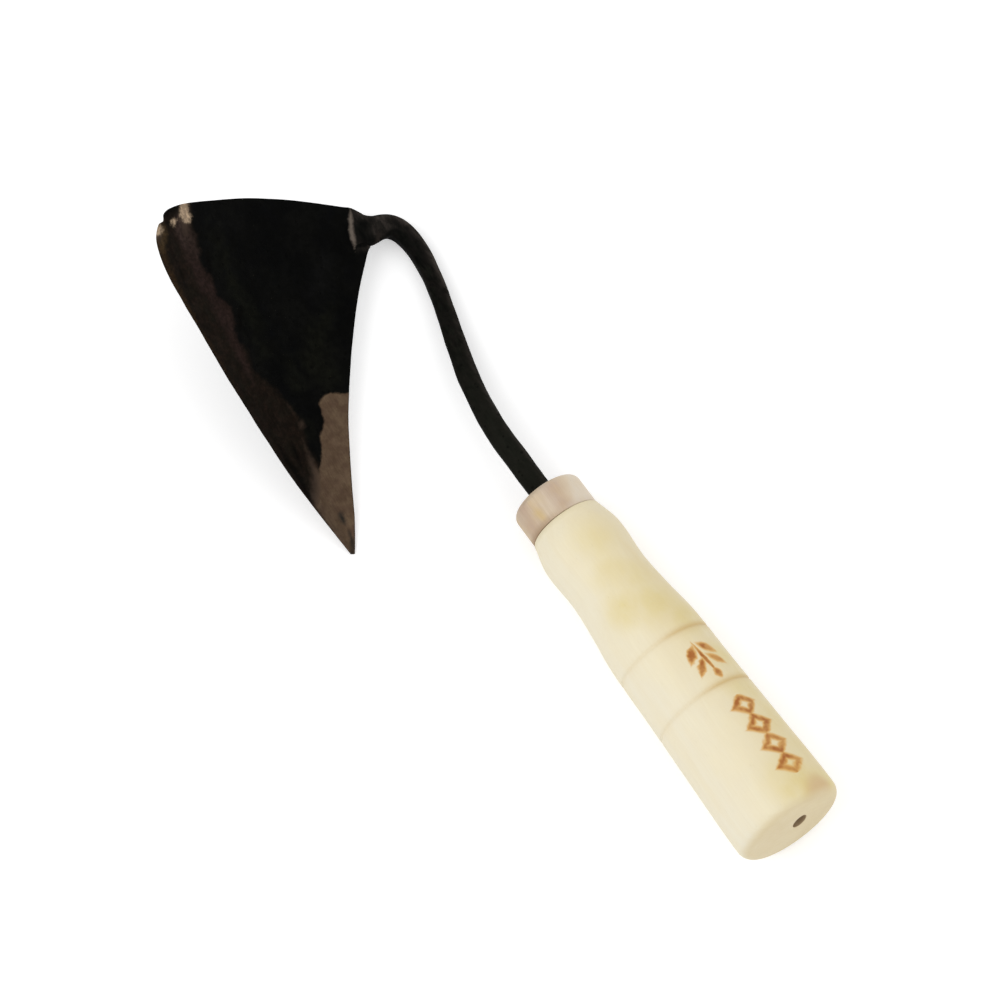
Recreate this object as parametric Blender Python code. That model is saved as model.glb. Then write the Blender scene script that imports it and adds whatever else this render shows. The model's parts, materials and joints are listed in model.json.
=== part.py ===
"""A Korean hand hoe: a forged head held by its tang in a turned wooden handle, with a drawn ferrule.

Every piece is drawn in the tool's own frame, in metres. X runs along the handle's axis from the butt to the
head, Y is to the left and Z is up, as the tool is held in the right hand. The origin is the middle of the
ferrule's mouth, where the neck leaves the handle. An empty then lays the whole tool down on its right side,
on the plane Z = 0, where it rests on the blade's tip, the bend of the neck and the butt.
"""

from math import cos, pi, radians, sin

import bmesh
import bpy
from mathutils import Matrix, Quaternion, Vector, geometry

# Handle, measured back from the ferrule's mouth
HANDLE_LENGTH = 0.129
HANDLE_STEP = 0.0005
HANDLE_STATIONS = (
    (0.0205, 0.0272),
    (0.0340, 0.0263),
    (0.0450, 0.0280),
    (0.0570, 0.0308),
    (0.0750, 0.0318),
    (0.0960, 0.0333),
    (0.1200, 0.0350),
    (0.1290, 0.0350),
)
BUTT_ROUNDING = 0.0036
GROOVE_PLACES = (0.0637, 0.0846)
GROOVE_WIDTH = 0.0014
GROOVE_DEPTH = 0.0006
SPIGOT_CHAMFER = 0.0018
# How far from the middle of the butt the hole comes out
HOLE_SHIFT = Vector((0.0, 0.0005, 0.0026))

# Ferrule
FERRULE_LENGTH = 0.0115
FERRULE_DIAMETER = 0.0229
FERRULE_WALL = 0.0009
FERRULE_ROUNDING = 0.0024

# Tang, inside the handle, and the wood left behind its end
TANG_DIAMETER = 0.0074
TANG_END_DIAMETER = 0.0044
TANG_COVER = 0.017
TANG_POINT = 0.003
TANG_POINT_SHARE = 0.45

# Gap between pieces that seat on each other
FIT = 0.0003

TANG_LENGTH = HANDLE_LENGTH - TANG_COVER

# Neck: points of its centre line, from the ferrule's mouth to the blade's root
NECK_ROUTE = (
    (0.0120, 0.0000, 0.0001),
    (0.0265, -0.0012, 0.0003),
    (0.0427, -0.0034, 0.0024),
    (0.0587, -0.0058, 0.0064),
    (0.0744, -0.0079, 0.0110),
    (0.0860, -0.0087, 0.0136),
    (0.0942, -0.0084, 0.0143),
    (0.1001, -0.0069, 0.0135),
    (0.1032, -0.0047, 0.0109),
)
NECK_THICK = 0.0077
# Its thickness where it is drawn thinner, at shares of its length
NECK_STATIONS = (
    (0.17, 0.0077),
    (0.34, 0.0072),
    (0.45, 0.0071),
    (0.60, 0.0064),
    (0.75, 0.0062),
    (0.87, 0.0069),
)
NECK_SQUARENESS = 4.5
# Heel under the neck's end: how much deeper the lower half of the section is there, and the share of the neck's
# length where it starts
HEEL_DEPTH = 0.40
HEEL_START = 0.93

# Blade: where its root lies on the neck's end, and how its plane is turned
ROOT = Vector((0.1041, -0.0018, 0.0068))
TOP_EDGE_HEADING = Vector((15.1, 63.0, -51.7))
TIP_HEADING = Vector((-81.9, 2.0, -63.5))
BLADE_WIDTH = 0.0808
BLADE_LENGTH = 0.1051
TOP_START = -0.0044
# Its flat outline: X runs from the root along the top edge, as a share of the width, and Y runs down towards
# the tip, as a share of the length
TOP_SHAPE = (
    (0.0, 0.0),
    (0.081, -0.021),
    (0.200, -0.037),
    (0.344, -0.052),
    (0.533, -0.058),
    (0.712, -0.049),
    (0.863, -0.036),
    (0.955, -0.017),
    (0.985, 0.0),
    (1.0, 0.012),
)
CUTTING_SHAPE = (
    (1.0, 0.012),
    (1.028, 0.051),
    (1.033, 0.099),
    (1.002, 0.180),
    (0.921, 0.297),
    (0.798, 0.472),
    (0.662, 0.648),
    (0.564, 0.766),
    (0.450, 0.885),
    (0.330, 1.0),
)
INNER_SHAPE = (
    (0.0, 0.0),
    (0.017, 0.066),
    (0.052, 0.127),
    (0.123, 0.246),
    (0.199, 0.423),
    (0.255, 0.600),
    (0.283, 0.776),
    (0.299, 0.927),
    (0.314, 1.0),
)
BLADE_THICKNESS = 0.0022
EDGE_THICKNESS = 0.0007
GROUND_WIDTH = 0.011
DISH = 0.005

# Shoulder where the neck is drawn out into the blade, with a step down to the plate, highest at the top
SHOULDER_LENGTH = 0.0082
SHOULDER_HEEL = 0.0051
SHOULDER_STEP = 0.0005

# Fineness
ROUND_STEPS = 48
SHARP_ANGLE = 35.0
HANDLE_STEPS = 34
ROUNDING_STEPS = 6
INNER_ROUNDING_STEPS = 4
NECK_RINGS = 40
NECK_SQUARING_RINGS = 4
SHOULDER_RINGS = 7
SHOULDER_COLUMNS = 2
SHOULDER_ROWS = 7
BLADE_COLUMNS = 18
BLADE_ROWS = 30
CURVE_SAMPLES = 24
EDGE_SAMPLES = 120
# A section has as many points as the edge of the shoulder on the two faces of the blade
SECTION_STEPS = 2 * (SHOULDER_COLUMNS + SHOULDER_ROWS + 1)

# Densities that decide how the tool comes to rest, in kg per cubic metre
STEEL = 7850.0
WOOD = 650.0


def clear_scene():
    for thing in list(bpy.data.objects):
        bpy.data.objects.remove(thing, do_unlink=True)


def material(name, colour, roughness, metallic):
    made = bpy.data.materials.new(name)
    made.use_nodes = True
    shader = made.node_tree.nodes["Principled BSDF"]
    shader.inputs["Base Color"].default_value = (*colour, 1.0)
    shader.inputs["Roughness"].default_value = roughness
    shader.inputs["Metallic"].default_value = metallic
    made.diffuse_color = (*colour, 1.0)
    return made


def smooth_value(stations, place):
    """The value at a place, on a smooth curve through (place, value) stations."""
    count = len(stations)
    index = 0
    while index < count - 2 and place > stations[index + 1][0]:
        index += 1
    (x0, y0), (x1, y1) = stations[index], stations[index + 1]
    slope = (y1 - y0) / (x1 - x0)
    before = after = slope
    if index > 0:
        before = (y1 - stations[index - 1][1]) / (x1 - stations[index - 1][0])
    if index < count - 2:
        after = (stations[index + 2][1] - y0) / (stations[index + 2][0] - x0)
    width = x1 - x0
    t = min(max((place - x0) / width, 0.0), 1.0)
    t2 = t * t
    t3 = t2 * t
    start = (2 * t3 - 3 * t2 + 1) * y0 + (t3 - 2 * t2 + t) * width * before
    end = (3 * t2 - 2 * t3) * y1 + (t3 - t2) * width * after
    return start + end


def curve_points(controls, count):
    """Evenly spread points on a smooth curve through the control points."""
    dense = []
    ends = [controls[0] * 2 - controls[1]] + controls + [controls[-1] * 2 - controls[-2]]
    for a, b, c, d in zip(ends, ends[1:], ends[2:], ends[3:]):
        for step in range(CURVE_SAMPLES):
            t = step / CURVE_SAMPLES
            square = a * 2 - b * 5 + c * 4 - d
            cube = b * 3 - a - c * 3 + d
            dense.append(0.5 * (b * 2 + (c - a) * t + square * t**2 + cube * t**3))
    dense.append(controls[-1])
    travelled = [0.0]
    for before, after in zip(dense, dense[1:]):
        travelled.append(travelled[-1] + (after - before).length)
    points = []
    index = 0
    for step in range(count):
        wanted = travelled[-1] * step / (count - 1)
        while index < len(dense) - 2 and travelled[index + 1] < wanted:
            index += 1
        share = (wanted - travelled[index]) / (travelled[index + 1] - travelled[index])
        points.append(dense[index].lerp(dense[index + 1], share))
    return points


def edge_line(shape):
    """Evenly spread points on one edge of the flat blade."""
    controls = [Vector((x * BLADE_WIDTH, TOP_START + y * BLADE_LENGTH)) for x, y in shape]
    return curve_points(controls, EDGE_SAMPLES + 1)


def on_line(line, share):
    """A point at a share of a line of evenly spread points."""
    place = share * (len(line) - 1)
    index = min(int(place), len(line) - 2)
    return line[index].lerp(line[index + 1], place - index)


def arc(centre, radius, start, end, steps):
    """Points (x, r) on an arc, with angles in degrees from +X towards +r."""
    points = []
    for step in range(steps + 1):
        angle = radians(start + (end - start) * step / steps)
        points.append((centre[0] + radius * cos(angle), centre[1] + radius * sin(angle)))
    return points


def turned(outline):
    """The mesh of a piece turned about the handle's axis, from a closed outline of (x, radius) points."""
    shape = bmesh.new()
    ring = [shape.verts.new((x, 0.0, radius)) for x, radius in outline]
    edges = [shape.edges.new((ring[i - 1], ring[i])) for i in range(len(ring))]
    bmesh.ops.spin(
        shape,
        geom=ring + edges,
        axis=(1, 0, 0),
        cent=(0, 0, 0),
        angle=2 * pi,
        steps=ROUND_STEPS,
        use_merge=True,
    )
    return shape


def finish_mesh(name, shape):
    bmesh.ops.remove_doubles(shape, verts=shape.verts, dist=0.000001)
    bmesh.ops.recalc_face_normals(shape, faces=shape.faces)
    mesh = bpy.data.meshes.new(name)
    shape.to_mesh(mesh)
    shape.free()
    mesh.shade_smooth()
    mesh.set_sharp_from_angle(angle=radians(SHARP_ANGLE))
    made = bpy.data.objects.new(name, mesh)
    bpy.context.scene.collection.objects.link(made)
    return made


def tang_radius(depth):
    """The tang's radius at a depth behind the ferrule's mouth."""
    share = min(max(depth / TANG_LENGTH, 0.0), 1.0)
    return 0.5 * (TANG_DIAMETER + (TANG_END_DIAMETER - TANG_DIAMETER) * share)


def handle_radius(depth):
    """The turned handle's outer radius, with its grooves, at a depth behind the ferrule's mouth."""
    mouth = (FERRULE_LENGTH + FIT, FERRULE_DIAMETER + HANDLE_STEP)
    radius = 0.5 * smooth_value((mouth, *HANDLE_STATIONS), depth)
    for place in GROOVE_PLACES:
        radius -= GROOVE_DEPTH * max(0.0, 1.0 - abs(depth - place) / (0.5 * GROOVE_WIDTH))
    return radius


def handle_outline():
    shoulder = FERRULE_LENGTH + FIT
    spigot_start = FERRULE_WALL + FIT
    spigot_radius = 0.5 * FERRULE_DIAMETER - FERRULE_WALL - FIT
    rounding_start = HANDLE_LENGTH - BUTT_ROUNDING
    places = {shoulder, rounding_start}
    for step in range(1, HANDLE_STEPS):
        places.add(shoulder + (rounding_start - shoulder) * step / HANDLE_STEPS)
    for place in GROOVE_PLACES:
        places = {kept for kept in places if abs(kept - place) > GROOVE_WIDTH}
        places.update((place - 0.5 * GROOVE_WIDTH, place, place + 0.5 * GROOVE_WIDTH))
    outline = [
        (-spigot_start, spigot_radius - SPIGOT_CHAMFER),
        (-spigot_start - SPIGOT_CHAMFER, spigot_radius),
        (-shoulder, spigot_radius),
    ]
    outline += [(-place, handle_radius(place)) for place in sorted(places)]
    butt_radius = handle_radius(rounding_start)
    outline += arc((-rounding_start, butt_radius - BUTT_ROUNDING), BUTT_ROUNDING, 90, 180, ROUNDING_STEPS)[1:]
    bore_end = tang_radius(TANG_LENGTH) + FIT
    outline += [
        (-HANDLE_LENGTH, bore_end),
        (-TANG_LENGTH, bore_end),
        (-spigot_start, tang_radius(spigot_start) + FIT),
    ]
    return outline


def turned_handle():
    """The turned handle, with its narrow hole slanted to come out off the middle of the butt."""
    shape = turned(handle_outline())
    bmesh.ops.remove_doubles(shape, verts=shape.verts, dist=0.000001)
    hole_radius = tang_radius(TANG_LENGTH) + FIT
    for vertex in shape.verts:
        reach = (vertex.co.y**2 + vertex.co.z**2) ** 0.5
        if abs(vertex.co.x + HANDLE_LENGTH) < 0.000001 and abs(reach - hole_radius) < 0.000001:
            vertex.co += HOLE_SHIFT
    return finish_mesh("handle", shape)


def ferrule_outline():
    outer = 0.5 * FERRULE_DIAMETER
    inner = outer - FERRULE_WALL
    inner_rounding = FERRULE_ROUNDING - FERRULE_WALL
    hole = tang_radius(0.0) + FIT
    outline = [(-FERRULE_LENGTH, outer)]
    outline += arc((-FERRULE_ROUNDING, outer - FERRULE_ROUNDING), FERRULE_ROUNDING, 90, 0, ROUNDING_STEPS)
    outline += [(0.0, hole), (-FERRULE_WALL, hole)]
    outline += arc((-FERRULE_ROUNDING, inner - inner_rounding), inner_rounding, 0, 90, INNER_ROUNDING_STEPS)
    outline += [(-FERRULE_LENGTH, inner)]
    return outline


TOP_EDGE = edge_line(TOP_SHAPE)
CUTTING_EDGE = edge_line(CUTTING_SHAPE)
INNER_EDGE = edge_line(INNER_SHAPE)


def blade_axes():
    """The blade's own directions: along the top edge, down towards the tip, and out of its inner face."""
    along = TOP_EDGE_HEADING.normalized()
    out = TOP_EDGE_HEADING.cross(TIP_HEADING).normalized()
    return along, out.cross(along), out


def section(centre, side, up, half, squareness):
    """Points of a rounded section, from a circle at squareness 2 to a bar with soft corners at 5."""
    points = []
    for step in range(SECTION_STEPS):
        angle = 2 * pi * (step + 0.5) / SECTION_STEPS
        c, s = cos(angle), sin(angle)
        reach = half * (abs(c) ** squareness + abs(s) ** squareness) ** (-1.0 / squareness)
        points.append(centre + side * (reach * c) + up * (reach * s))
    return points


def tang_rings():
    """Sections of the round tang, from its point to the ferrule's mouth."""
    rings = []
    stations = (
        (TANG_LENGTH, TANG_POINT_SHARE),
        (TANG_LENGTH - TANG_POINT, 1.0),
        (0.5 * TANG_LENGTH, 1.0),
        (0.0, 1.0),
    )
    for depth, share in stations:
        centre = Vector((-depth, 0, 0))
        rings.append(section(centre, Vector((0, 1, 0)), Vector((0, 0, 1)), tang_radius(depth) * share, 2.0))
    return rings


def neck_rings():
    """Sections of the neck, from just outside the ferrule's mouth to the blade's root."""
    along, down, out = blade_axes()
    route = [Vector((0, 0, 0))] + [Vector(point) for point in NECK_ROUTE] + [ROOT]
    points = curve_points(route, NECK_RINGS)
    tangents = []
    for index in range(len(points)):
        before = points[max(index - 1, 0)]
        after = points[min(index + 1, len(points) - 1)]
        tangents.append((after - before).normalized())
    tangents[0] = Vector((1, 0, 0))
    tangents[-1] = along

    # The section is carried along the route without turning, then turned evenly to meet the blade
    frames = [(Vector((0, 1, 0)), Vector((0, 0, 1)))]
    for before, after in zip(tangents, tangents[1:]):
        swing = before.rotation_difference(after)
        side, up = frames[-1]
        frames.append((swing @ side, swing @ up))
    last_side = frames[-1][0]
    mismatch = last_side.angle(out)
    if last_side.cross(out).dot(along) < 0:
        mismatch = -mismatch

    thicknesses = ((0.0, NECK_THICK), *NECK_STATIONS, (1.0, NECK_THICK))
    rings = []
    for index in range(1, len(points)):
        share = index / (len(points) - 1)
        turned_share = share * share * (3 - 2 * share)
        turn = Quaternion(tangents[index], mismatch * turned_share)
        side, up = frames[index]
        half = 0.5 * smooth_value(thicknesses, share)
        squareness = 2.0 + (NECK_SQUARENESS - 2.0) * min(1.0, index / NECK_SQUARING_RINGS)
        ring = section(points[index], turn @ side, turn @ up, half, squareness)
        heel = HEEL_DEPTH * max(0.0, (share - HEEL_START) / (1 - HEEL_START)) ** 2
        rings.append([point + down * (heel * max(0.0, (point - points[index]).dot(down))) for point in ring])
    return rings


def blade_flat(u, v):
    """A point of the flat blade, with u from the inner edge to the cutting edge and v from top to tip."""
    tip = INNER_EDGE[-1].lerp(CUTTING_EDGE[-1], u)
    across = on_line(INNER_EDGE, v).lerp(on_line(CUTTING_EDGE, v), u)
    along = on_line(TOP_EDGE, u).lerp(tip, v)
    corners = TOP_EDGE[0].lerp(TOP_EDGE[-1], u).lerp(tip, v)
    return across + along - corners


def hollow(u, v):
    """How deep the dished blade lies behind its flat plane."""
    return DISH * 4 * u * (1 - u) * (1 - v * v)


def edge_distance(flat):
    """How far a point of the flat blade lies inside the cutting edge."""
    return min((flat - point).length for point in CUTTING_EDGE)


def blade_point(u, v, face_side):
    """A point of the dished plate, on its inner face (1) or its outer face (-1)."""
    along, down, out = blade_axes()
    flat = blade_flat(u, v)
    ground = min(edge_distance(flat) / GROUND_WIDTH, 1.0)
    thick = EDGE_THICKNESS + (BLADE_THICKNESS - EDGE_THICKNESS) * ground
    return ROOT + along * flat.x + down * flat.y + out * (0.5 * face_side * thick - hollow(u, v))


def share_at(line, axis, wanted):
    """How far along a line one of its coordinates, which must rise, reaches the wanted value."""
    low, high = 0.0, 1.0
    while high - low > 0.0001:
        middle = 0.5 * (low + high)
        if on_line(line, middle)[axis] < wanted:
            low = middle
        else:
            high = middle
    return high


def shares(first_end, first_steps, last_steps):
    """Shares from 0 to 1, in even steps up to first_end and in even steps from there."""
    start = [first_end * step / first_steps for step in range(first_steps)]
    return start + [first_end + (1 - first_end) * step / last_steps for step in range(last_steps + 1)]


def plate(shape):
    """The blade's two faces and its rim, less the corner that the shoulder covers.

    Returns the open edge of each face around the shoulder, from the top edge to the inner edge, as triples of
    a vertex, the direction in which the plate runs on from it, and the shoulder's rise above the plate there.
    """
    across = shares(share_at(TOP_EDGE, 0, SHOULDER_LENGTH), SHOULDER_COLUMNS, BLADE_COLUMNS)
    down = shares(share_at(INNER_EDGE, 1, 0.5 * NECK_THICK + SHOULDER_HEEL), SHOULDER_ROWS, BLADE_ROWS)
    last_column, last_row = len(across) - 1, len(down) - 1
    rims = []
    openings = []
    for face_side in (1, -1):
        grid = {}
        for row, v in enumerate(down):
            for column, u in enumerate(across):
                if row >= SHOULDER_ROWS or column >= SHOULDER_COLUMNS:
                    grid[row, column] = shape.verts.new(blade_point(u, v, face_side))
        for row in range(last_row):
            for column in range(last_column):
                if row >= SHOULDER_ROWS or column >= SHOULDER_COLUMNS:
                    corners = [(row, column), (row, column + 1), (row + 1, column + 1), (row + 1, column)]
                    shape.faces.new([grid[corner] for corner in corners[::face_side]])
        rim = [(0, column) for column in range(SHOULDER_COLUMNS, last_column)]
        rim += [(row, last_column) for row in range(last_row)]
        rim += [(last_row, column) for column in range(last_column, 0, -1)]
        rim += [(row, 0) for row in range(last_row, SHOULDER_ROWS - 1, -1)]
        rims.append([grid[place] for place in rim])
        edge = []
        for row in range(SHOULDER_ROWS + 1):
            here = grid[row, SHOULDER_COLUMNS]
            beyond = grid[row + (row == SHOULDER_ROWS), SHOULDER_COLUMNS + 1]
            edge.append((here, (beyond.co - here.co).normalized(), SHOULDER_STEP * (1 - row / SHOULDER_ROWS)))
        for column in range(SHOULDER_COLUMNS - 1, -1, -1):
            here = grid[SHOULDER_ROWS, column]
            beyond = grid[SHOULDER_ROWS + 1, column]
            edge.append((here, (beyond.co - here.co).normalized(), 0.0))
        openings.append(edge)
    inner, outer = rims
    for index in range(1, len(inner)):
        shape.faces.new((inner[index - 1], inner[index], outer[index], outer[index - 1]))
    return openings


def shoulder_rings(root_ring, inner_edge, outer_edge):
    """Rings that spread the neck's last section to the open edge of the plate, and that edge's vertices."""
    along, down, out = blade_axes()
    half = len(inner_edge)
    quarter = half // 2
    ends = []
    for step in range(2 * half):
        if step < quarter:
            ends.append((*inner_edge[quarter - 1 - step], out))
        elif step < quarter + half:
            ends.append((*outer_edge[step - quarter], -out))
        else:
            ends.append((*inner_edge[2 * half + quarter - 1 - step], out))
    rings = [[] for _ in range(SHOULDER_RINGS)]
    for start, (vertex, heading, rise, outward) in zip(root_ring, ends):
        end = vertex.co + outward * rise - heading * SHOULDER_STEP
        reach = (end - start).length
        for index in range(SHOULDER_RINGS):
            t = (index + 1) / SHOULDER_RINGS
            t2 = t * t
            t3 = t2 * t
            point = start * (2 * t3 - 3 * t2 + 1) + end * (3 * t2 - 2 * t3)
            point += along * (reach * (t3 - 2 * t2 + t)) + heading * (reach * (t3 - t2))
            rings[index].append(point)
    return rings, [end[0] for end in ends]


def forged_head():
    """One forging: the tang, the bent neck, the shoulder and the dished blade with its ground edge."""
    shape = bmesh.new()
    inner_edge, outer_edge = plate(shape)
    rings = tang_rings() + neck_rings()
    spread, last_ring = shoulder_rings(rings[-1], inner_edge, outer_edge)
    made = [[shape.verts.new(point) for point in ring] for ring in rings + spread]
    made.append(last_ring)
    shape.faces.new(made[0][::-1])
    for ring, following in zip(made, made[1:]):
        for index in range(len(ring)):
            shape.faces.new((ring[index - 1], ring[index], following[index], following[index - 1]))
    return finish_mesh("forged_head", shape)


def evaluated_points(thing):
    """An object's points and triangles as they come out of its modifiers, in the tool's frame."""
    graph = bpy.context.evaluated_depsgraph_get()
    mesh = thing.evaluated_get(graph).to_mesh()
    mesh.calc_loop_triangles()
    points = [vertex.co.copy() for vertex in mesh.vertices]
    triangles = [tuple(triangle.vertices) for triangle in mesh.loop_triangles]
    thing.evaluated_get(graph).to_mesh_clear()
    return points, triangles


def weight_and_moment(points, triangles, density):
    """The mass of a closed mesh, and its centre times that mass."""
    mass = 0.0
    moment = Vector((0, 0, 0))
    for a, b, c in triangles:
        volume = points[a].dot(points[b].cross(points[c])) / 6
        mass += volume * density
        moment += (points[a] + points[b] + points[c]) * (volume * density / 4)
    return mass, moment


def resting_turn(pieces, downward):
    """The turn and shift that lay the tool on the floor, on the face of its hull under its weight."""
    hull = bmesh.new()
    mass = 0.0
    moment = Vector((0, 0, 0))
    for thing, density in pieces:
        points, triangles = evaluated_points(thing)
        for point in points:
            hull.verts.new(point)
        part_mass, part_moment = weight_and_moment(points, triangles, density)
        mass += part_mass
        moment += part_moment
    centre = moment / mass
    bmesh.ops.convex_hull(hull, input=hull.verts)
    bmesh.ops.recalc_face_normals(hull, faces=hull.faces)
    best = None
    for face in hull.faces:
        if len(face.verts) != 3:
            continue
        normal = face.normal
        corners = [vertex.co for vertex in face.verts]
        over = centre - normal * (centre - corners[0]).dot(normal)
        inside = geometry.intersect_point_tri(over, *corners)
        if inside is None:
            continue
        if best is None or normal.dot(downward) > best[0].dot(downward):
            best = (normal.copy(), corners[0].copy())
    hull.free()
    normal, touch = best
    turn = normal.rotation_difference(Vector((0, 0, -1)))
    handle_direction = turn @ Vector((1, 0, 0))
    level = Vector((handle_direction.x, handle_direction.y, 0)).rotation_difference(Vector((1, 0, 0)))
    turn = level @ turn
    return turn, -(turn @ touch).z


def lay_down(pieces):
    """Parents every piece to one empty, and lays that empty so that the tool rests on Z = 0."""
    turn, lift = resting_turn(pieces, Vector((0, -1, 0)))
    placed = [turn @ point for thing, _ in pieces for point in evaluated_points(thing)[0]]
    middle = [0.5 * (min(point[k] for point in placed) + max(point[k] for point in placed)) for k in range(2)]
    resting = bpy.data.objects.new("resting_place", None)
    bpy.context.scene.collection.objects.link(resting)
    resting.matrix_world = Matrix.Translation((-middle[0], -middle[1], lift)) @ turn.to_matrix().to_4x4()
    for thing, _ in pieces:
        thing.parent = resting


def build():
    clear_scene()
    forged_steel = material("forged_steel", (0.020, 0.020, 0.018), 0.45, 0.6)
    ferrule_steel = material("ferrule_steel", (0.58, 0.50, 0.41), 0.38, 0.9)
    pale_wood = material("pale_wood", (0.86, 0.76, 0.55), 0.6, 0.0)

    head = forged_head()
    head.data.materials.append(forged_steel)
    ferrule = finish_mesh("ferrule", turned(ferrule_outline()))
    ferrule.data.materials.append(ferrule_steel)
    handle = turned_handle()
    handle.data.materials.append(pale_wood)
    lay_down([(head, STEEL), (ferrule, STEEL), (handle, WOOD)])


build()
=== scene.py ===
"""The looks of a Korean hand hoe: a black forged head, a drawn metal ferrule and a turned wooden handle.

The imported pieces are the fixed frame. A finer head, ferrule and handle are modelled in the same places, and
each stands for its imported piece. They are drawn in the tool's own frame: X runs along the handle's axis from
the butt to the head, and the origin is the middle of the ferrule's mouth. They are then laid down as the tool
rests.
"""

import json
from math import cos, pi, radians, sin

import bpy
from mathutils import Matrix, Vector, noise

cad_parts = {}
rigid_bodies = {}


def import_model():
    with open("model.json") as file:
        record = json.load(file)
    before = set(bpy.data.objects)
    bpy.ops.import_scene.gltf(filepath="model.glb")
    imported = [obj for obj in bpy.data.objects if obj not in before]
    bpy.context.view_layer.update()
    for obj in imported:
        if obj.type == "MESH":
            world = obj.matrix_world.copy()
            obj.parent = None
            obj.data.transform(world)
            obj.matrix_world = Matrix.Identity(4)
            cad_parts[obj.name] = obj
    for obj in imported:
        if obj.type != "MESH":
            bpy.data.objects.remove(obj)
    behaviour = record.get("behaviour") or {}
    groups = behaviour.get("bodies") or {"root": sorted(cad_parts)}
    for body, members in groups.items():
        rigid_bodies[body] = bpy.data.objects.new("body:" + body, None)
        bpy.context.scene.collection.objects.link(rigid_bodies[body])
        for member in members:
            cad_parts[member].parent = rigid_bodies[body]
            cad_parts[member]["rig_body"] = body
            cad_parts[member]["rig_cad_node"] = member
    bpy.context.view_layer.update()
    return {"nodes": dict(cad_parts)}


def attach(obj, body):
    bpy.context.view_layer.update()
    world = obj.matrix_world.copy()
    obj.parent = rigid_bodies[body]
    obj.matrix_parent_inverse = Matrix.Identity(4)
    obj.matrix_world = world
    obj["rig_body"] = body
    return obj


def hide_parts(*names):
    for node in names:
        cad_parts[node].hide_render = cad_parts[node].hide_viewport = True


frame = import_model()
bpy.ops.object.select_all(action="DESELECT")

MM = 0.001

# How the tool lies on the floor
TOOL_SHIFT = Vector((0.001092, -0.021207, 0.012934))
TOOL_ROLL = 78.5578
TOOL_PITCH = 2.4578

# Camera: a far one, which looks down at the tool as the photograph does
CAMERA_PLACE = (-0.54594, 0.33198, 1.72537)
CAMERA_TURN = (20.775, 1.009, -124.327)
CAMERA_LENS = 219.6
CAMERA_SENSOR = 36.0
CAMERA_NEAREST = 0.01

# Light
WORLD_LIGHT = 0.78
WHITE = (1.0, 1.0, 1.0)
KEY_PLACE = Vector((0.25, 0.75, 0.95))
KEY_SIZE = 1.2
KEY_POWER = 5.4
FILL_PLACE = Vector((-0.75, -0.65, 0.80))
FILL_SIZE = 1.4
FILL_POWER = 2.5
LIGHT_AIM = Vector((0.0, 0.0, 0.02))

# Floor, and its glow to the camera, which rises between two distances from the middle
FLOOR_SIZE = 8.0
FLOOR_PAINT = (0.90, 0.90, 0.90)
FLOOR_GLOW = 0.29
FAR_FLOOR_GLOW = 0.38
GLOW_RISE = (0.5, 2.0)

# Handle, as diameters at depths behind the ferrule's mouth
HANDLE_LENGTH = 0.129
HANDLE_MOUTH = 0.01162
HANDLE_STATIONS = (
    (0.0118, 0.0234),
    (0.0205, 0.0272),
    (0.0340, 0.0263),
    (0.0450, 0.0280),
    (0.0570, 0.0308),
    (0.0750, 0.0318),
    (0.0960, 0.0333),
    (0.1200, 0.0350),
    (0.1290, 0.0350),
)
HANDLE_SANDED_OFF = 0.00006
HANDLE_ROUNDING = 0.0004
BUTT_ROUNDING = 0.0036
RING_SPACING = 0.0016
BUTT_RINGS = (0.75, 0.5, 0.3)
GROOVE_PLACES = (0.0637, 0.0846)
GROOVE_HALF_WIDTH = 0.0009
GROOVE_DEPTH = 0.00026
GROOVE_STEPS = 8
GROOVE_CLEARING = 1.3
BUTT_HOLE_SHIFT = Vector((0.0, 0.0005, 0.0026))
BUTT_HOLE_SLANT = 0.017
BUTT_HOLE_RADIUS = 0.0025
BUTT_HOLE_DEPTH = 0.012
BUTT_HOLE_EASE = 0.0003
BUTT_HOLE_LONG_WAY = Vector((0.0, 0.915, 0.404))
BUTT_HOLE_STRETCH = 0.42
BUTT_HOLE_PINCH = 0.09
BUTT_HOLE_OVAL_DEPTH = 0.006
SPIGOT_RADIUS = 0.01025
SPIGOT_START = 0.0012

# Where the wood is darker: round a groove, by the ferrule as painted shade where the wood meets it, in the
# bored hole and on the end grain
GROOVE_SHADE = 1.7 * GROOVE_HALF_WIDTH
MOUTH_SHADE_LENGTH = 0.0012
MOUTH_SHADE_MOST = 0.6
BORED_RADIUS = BUTT_HOLE_RADIUS + 0.00004
END_GRAIN_START = HANDLE_LENGTH - 0.0022
END_GRAIN_RUN = 0.0018
# How far the heart of the growth rings lies from the handle's axis, in millimetres
RING_HEART = (0.0, 21.0, 9.0)

# Ferrule
FERRULE_LENGTH = 0.0115
FERRULE_RADIUS = 0.01145
FERRULE_WALL = 0.0009
FERRULE_ROUNDING = 0.0024
FERRULE_HOLE = 0.0040
FERRULE_LIP = 0.0002
FERRULE_RINGS = (0.25, 0.5, 0.75)

# Stains on the ferrule, in the tool's own frame: place and reach in millimetres
FERRULE_STAINS = {
    "gold": (
        (Vector((-3.6, 10.4, -4.9)), 1.7),
        (Vector((-6.6, 10.5, -4.5)), 2.6),
        (Vector((-9.4, 10.6, -4.3)), 2.0),
    ),
    "dim": (
        (Vector((-3.5, 10.9, 3.4)), 5.5),
        (Vector((-8.5, 10.9, 3.2)), 4.5),
        (Vector((-8.0, 7.6, -8.6)), 6.0),
        (Vector((-3.0, 8.6, -7.4)), 4.5),
    ),
}

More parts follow.
